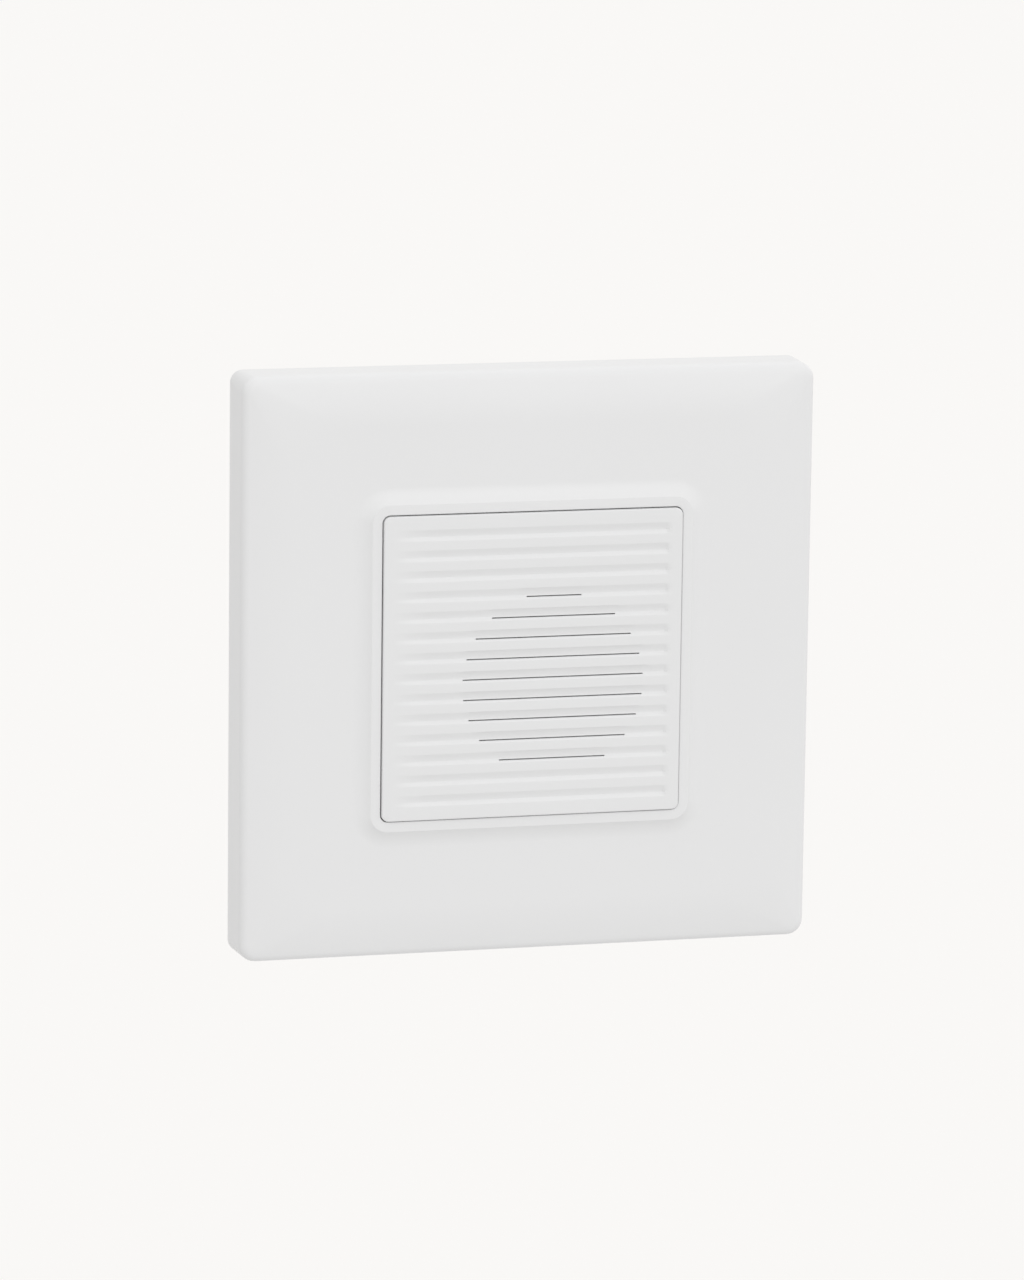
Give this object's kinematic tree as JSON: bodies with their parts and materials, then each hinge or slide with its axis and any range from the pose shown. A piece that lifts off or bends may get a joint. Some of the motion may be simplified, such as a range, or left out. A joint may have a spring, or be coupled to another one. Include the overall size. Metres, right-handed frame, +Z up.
{
  "type": "flush door chime module",
  "caption": "Square clip-on wall plate round a grooved sounder module with thin sound slots, clipped into a support frame for a round wall box.",
  "frame": {"origin": "middle of the wall plane, between the wall-box screws", "axes": "+X to the right seen from the front, +Y into the wall, +Z up"},
  "size_m": [0.085, 0.0302, 0.085],
  "materials": {
    "plate_white": "satin moulded",
    "grille_white": "satin moulded",
    "frame_grey": "satin moulded",
    "housing_white": "fine spark-eroded texture",
    "bobbin_plastic": "moulded, translucent",
    "winding_copper": "enamelled wire",
    "soft_iron": "zinc plated",
    "spring_steel": "bright",
    "screw_steel": "zinc plated",
    "terminal_brass": "drawn"
  },
  "bodies": {
    "base": {"support_frame": "frame_grey", "grille_front": "grille_white", "module_housing": "housing_white", "sounder_disc": "spring_steel", "disc_retainer": "bobbin_plastic", "coil_bobbin": "bobbin_plastic", "coil_winding": "winding_copper", "core_pin": "soft_iron", "yoke": "soft_iron", "yoke_screws": "screw_steel", "hinge_pin": "spring_steel", "contact_bar_left": "terminal_brass", "contact_bar_right": "terminal_brass", "coil_lead_left": "winding_copper", "coil_lead_right": "winding_copper"},
    "plate": {"cover_plate": "plate_white"},
    "hammer": {"armature": "soft_iron", "striker": "terminal_brass", "return_spring": "spring_steel"},
    "screw_left": {"terminal_screw_left": "screw_steel"},
    "screw_right": {"terminal_screw_right": "screw_steel"},
    "cage_left": {"terminal_cage_left": "terminal_brass"},
    "cage_right": {"terminal_cage_right": "terminal_brass"}
  },
  "joints": [
    {"name": "plate_pull", "type": "slide", "parent": "base", "child": "plate", "axis": [0, -1, 0], "range_m": [0, 0.025]},
    {"name": "armature_swing", "type": "hinge", "parent": "base", "child": "hammer", "pos_m": [-0.0077, -0.0034, -0.0029], "axis": [0, 0, 1], "range_deg": [-1.5, 2], "stiffness_Nm_per_rad": 0.01, "deforming": ["return_spring"]},
    {"name": "clamp_turn_left", "type": "hinge", "parent": "base", "child": "screw_left", "pos_m": [-0.0102, 0.0161, 0.0158], "axis": [0, -1, 0], "range_deg": [0, 1440]},
    {"name": "clamp_turn_right", "type": "hinge", "parent": "base", "child": "screw_right", "pos_m": [0.0102, 0.0161, 0.0158], "axis": [0, -1, 0], "range_deg": [0, 1440]},
    {"name": "cage_lift_left", "type": "slide", "parent": "base", "child": "cage_left", "axis": [0, 1, 0], "range_m": [0, 0.002]},
    {"name": "cage_lift_right", "type": "slide", "parent": "base", "child": "cage_right", "axis": [0, 1, 0], "range_m": [0, 0.002]}
  ],
  "couplings": [
    {"joint": "clamp_turn_left", "follows": "cage_lift_left", "rad_per_m": 12566},
    {"joint": "clamp_turn_right", "follows": "cage_lift_right", "rad_per_m": 12566}
  ]
}
